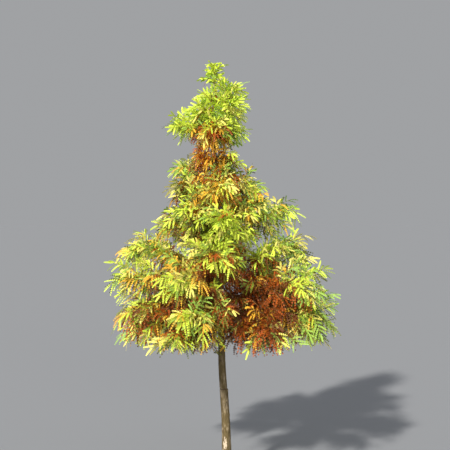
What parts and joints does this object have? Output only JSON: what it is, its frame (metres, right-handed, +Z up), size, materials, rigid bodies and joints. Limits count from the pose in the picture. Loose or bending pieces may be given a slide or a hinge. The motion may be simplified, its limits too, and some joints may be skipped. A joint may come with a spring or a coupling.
{
  "type": "cypress tree",
  "caption": "Young conical cypress tree with a bare leaning trunk, whorled boughs and drooping needle sprays, green with rust-brown inner foliage.",
  "frame": {"origin": "middle of the flat cut under the trunk, at ground level", "axes": "+Z up the trunk, +X to the right and +Y away from the viewer of the picture"},
  "size_m": [1.4088, 1.3816, 2.5206],
  "materials": {
    "trunk_bark": "rough, finely fissured",
    "bough_bark": "matt, thin reddish bark",
    "foliage_green": "matt needles",
    "foliage_rust": "matt dry needles"
  },
  "bodies": {
    "root": {"bough_1_1": "bough_bark", "bough_1_2": "bough_bark", "bough_1_3": "bough_bark", "bough_1_4": "bough_bark", "bough_1_5": "bough_bark", "bough_2_1": "bough_bark", "bough_2_2": "bough_bark", "bough_2_3": "bough_bark", "bough_2_4": "bough_bark", "bough_2_5": "bough_bark", "sprays_10_1": "foliage_green", "sprays_10_2": "foliage_green", "sprays_10_3": "foliage_green", "sprays_10_4": "foliage_green", "sprays_11_1": "foliage_green", "sprays_11_2": "foliage_green", "sprays_11_3": "foliage_green", "sprays_11_4": "foliage_green", "sprays_12_1": "foliage_green", "sprays_12_2": "foliage_green", "sprays_12_3": "foliage_green", "sprays_1_1": "foliage_green", "sprays_1_2": "foliage_green", "sprays_1_3": "foliage_green", "sprays_1_4": "foliage_rust", "sprays_1_5": "foliage_green", "sprays_2_1": "foliage_green", "sprays_2_2": "foliage_green", "sprays_2_3": "foliage_rust", "sprays_2_4": "foliage_green", "sprays_2_5": "foliage_green", "sprays_3_1": "foliage_green", "sprays_3_2": "foliage_green", "sprays_3_3": "foliage_rust", "sprays_3_4": "foliage_green", "sprays_3_5": "foliage_green", "sprays_4_1": "foliage_green", "sprays_4_2": "foliage_green", "sprays_4_3": "foliage_green", "sprays_4_4": "foliage_green", "sprays_5_1": "foliage_green", "sprays_5_2": "foliage_green", "sprays_5_3": "foliage_green", "sprays_5_4": "foliage_green", "sprays_6_1": "foliage_green", "sprays_6_2": "foliage_green", "sprays_6_3": "foliage_green", "sprays_6_4": "foliage_green", "sprays_7_1": "foliage_green", "sprays_7_2": "foliage_green", "sprays_7_3": "foliage_green", "sprays_7_4": "foliage_green", "sprays_8_1": "foliage_green", "sprays_8_2": "foliage_green", "sprays_8_3": "foliage_green", "sprays_9_1": "foliage_rust", "sprays_9_2": "foliage_green", "sprays_9_3": "foliage_rust", "sprays_leader": "foliage_green", "trunk": "trunk_bark"}
  },
  "joints": []
}
